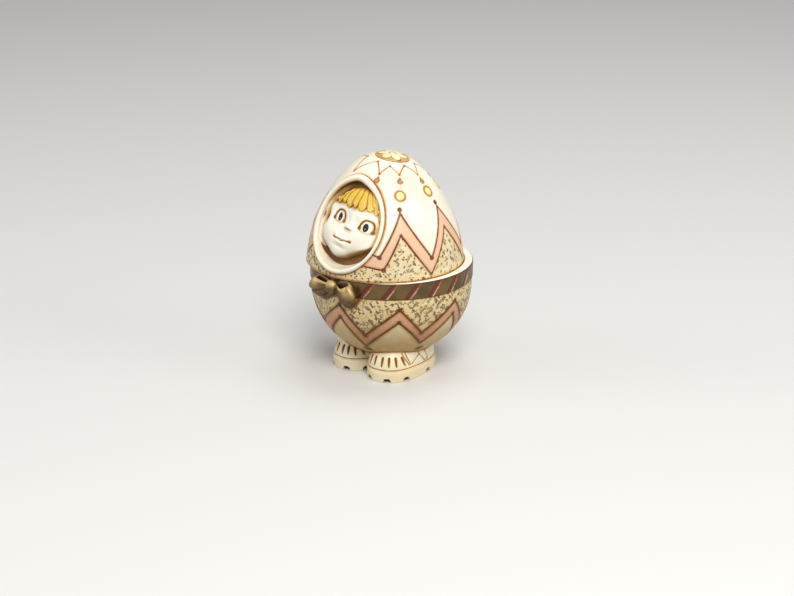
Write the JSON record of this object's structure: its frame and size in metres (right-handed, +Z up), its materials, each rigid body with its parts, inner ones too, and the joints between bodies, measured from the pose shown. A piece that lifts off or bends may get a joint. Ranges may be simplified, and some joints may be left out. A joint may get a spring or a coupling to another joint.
{
  "type": "egg-shaped keepsake box figurine",
  "caption": "Egg-shaped keepsake box with folk-style zigzag bands, a lift-off lid framing a hooded child's face, a ribbon with bow, and two chunky boots to stand on.",
  "frame": {"origin": "on the ground under the egg's axis, between the two soles", "axes": "+Z up along the egg's axis, the figure looks along -Y, its left side is +X"},
  "size_m": [0.0509, 0.0537, 0.0683],
  "materials": {
    "shell": "satin ivory cast resin, carved and painted bands",
    "ribbon": "olive-bronze painted resin with red-brown stripes",
    "bow": "antique gold painted resin",
    "boots": "cream cast resin with brown wash",
    "hood": "satin ivory cast resin",
    "face": "satin ivory cast resin, painted features",
    "hair": "yellow painted resin with brown wash",
    "medallion": "ochre painted resin"
  },
  "bodies": {
    "base": {"base_bowl": "shell", "ribbon_band": "ribbon", "bow_knot": "bow", "bow_left_loop": "bow", "bow_right_loop": "bow", "bow_tail": "bow", "left_boot": "boots", "left_sole": "boots", "right_boot": "boots", "right_sole": "boots"},
    "lid": {"lid_shell": "shell", "hood_rim": "hood", "face": "face", "hair_fringe": "hair", "crown_medallion": "medallion"}
  },
  "joints": [
    {"name": "lid_lift", "type": "slide", "parent": "base", "child": "lid", "axis": [0, 0, 1], "range_m": [0, 0.04]}
  ]
}
